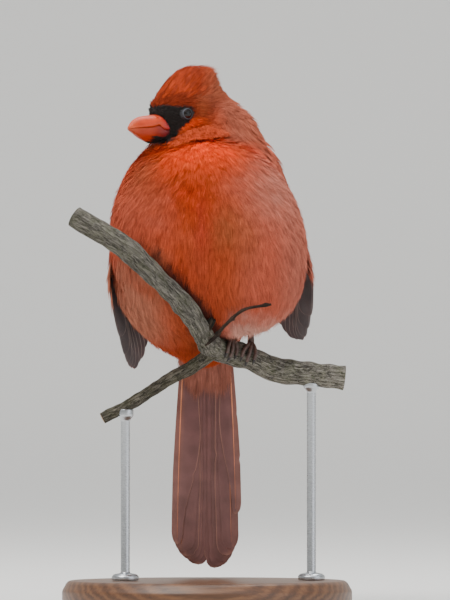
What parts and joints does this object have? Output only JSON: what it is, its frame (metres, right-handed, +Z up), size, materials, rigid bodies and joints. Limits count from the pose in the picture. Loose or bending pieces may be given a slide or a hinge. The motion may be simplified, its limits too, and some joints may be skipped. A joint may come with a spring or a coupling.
{
  "type": "northern cardinal",
  "caption": "Life-size still model of a fluffed-up male northern cardinal gripping a cut branch, held by two rods on a round display base.",
  "frame": {"origin": "middle of the underside of the round base", "axes": "+Z up, -Y where the bird's breast faces, +X to the bird's left"},
  "size_m": [0.128, 0.128, 0.2379],
  "materials": {
    "plumage_red": "matte",
    "plumage_head": "matte",
    "wing_feather": "matte",
    "tail_feather": "satin",
    "bill_horn": "satin",
    "eye": "polished",
    "leg_scale": "matte",
    "bark": "rough",
    "base_wood": "satin",
    "rod_steel": "brushed"
  },
  "bodies": {
    "root": {"head": "plumage_head", "neck": "plumage_red", "torso": "plumage_red", "bill_upper": "bill_horn", "bill_lower": "bill_horn", "eye_left": "eye", "eye_right": "eye", "wing_left": "wing_feather", "wing_right": "wing_feather", "tail": "tail_feather", "leg_left": "leg_scale", "leg_right": "leg_scale", "perch_limb": "bark", "perch_fork": "bark", "perch_twig": "bark", "stand_base": "base_wood", "stand_rod_left": "rod_steel", "stand_rod_right": "rod_steel"}
  },
  "joints": []
}
